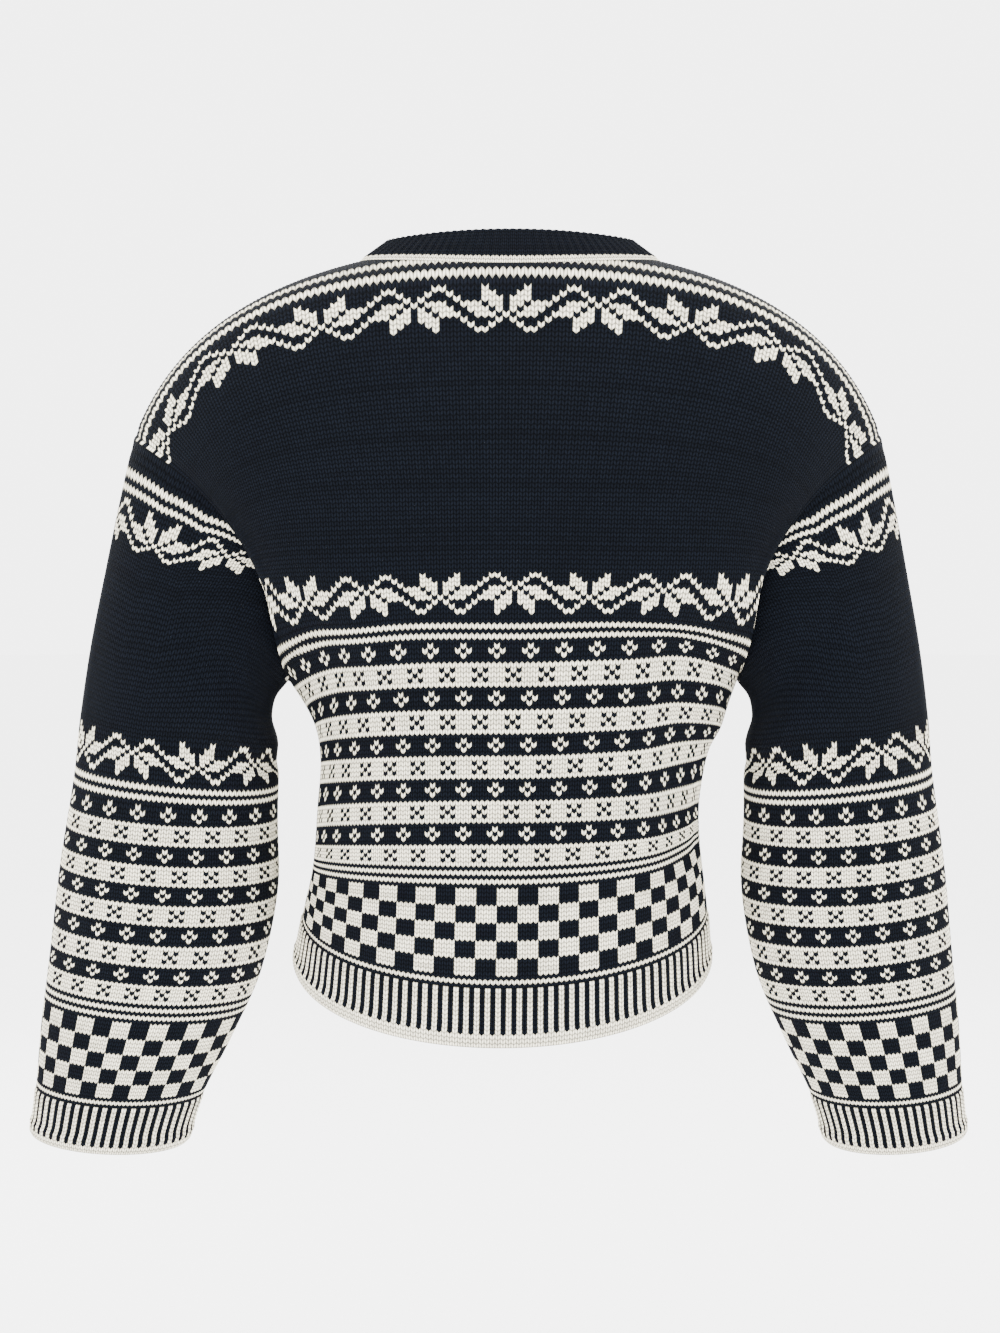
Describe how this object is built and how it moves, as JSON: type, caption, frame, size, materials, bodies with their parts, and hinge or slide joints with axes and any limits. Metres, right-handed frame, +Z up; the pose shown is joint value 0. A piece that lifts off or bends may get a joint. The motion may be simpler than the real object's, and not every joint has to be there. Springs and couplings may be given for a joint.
{
  "type": "fair isle cardigan",
  "caption": "Cropped, boxy fair isle cardigan with dropped shoulders, buttoned front, ribbed neckband and striped rib hem and cuffs, in its hollow worn shape.",
  "frame": {"origin": "midpoint between the two points where the shoulder seams meet the neckband, where the wearer's shoulders hold the garment", "axes": "+X towards the wearer's left sleeve, -Y towards the wearer's front (buttons), +Y the back, +Z up"},
  "size_m": [0.7199, 0.25, 0.6924],
  "materials": {
    "patterned_knit": "matte colourwork knit, blue-black with cream bands, checks and a leaf border",
    "plain_rib": "matte blue-black one-by-one rib",
    "striped_rib": "matte corrugated rib, cream and blue-black, with a cream edge",
    "button": "satin dark resin"
  },
  "bodies": {
    "root": {"back": "patterned_knit", "front_left": "patterned_knit", "front_right": "patterned_knit", "sleeve_left": "patterned_knit", "sleeve_right": "patterned_knit", "neckband": "plain_rib", "button_band_left": "plain_rib", "button_band_right": "plain_rib", "hem_rib_back": "striped_rib", "hem_rib_left": "striped_rib", "hem_rib_right": "striped_rib", "cuff_left": "striped_rib", "cuff_right": "striped_rib", "button_1": "button", "button_2": "button", "button_3": "button", "button_4": "button", "button_5": "button", "button_6": "button", "button_7": "button"}
  },
  "joints": []
}
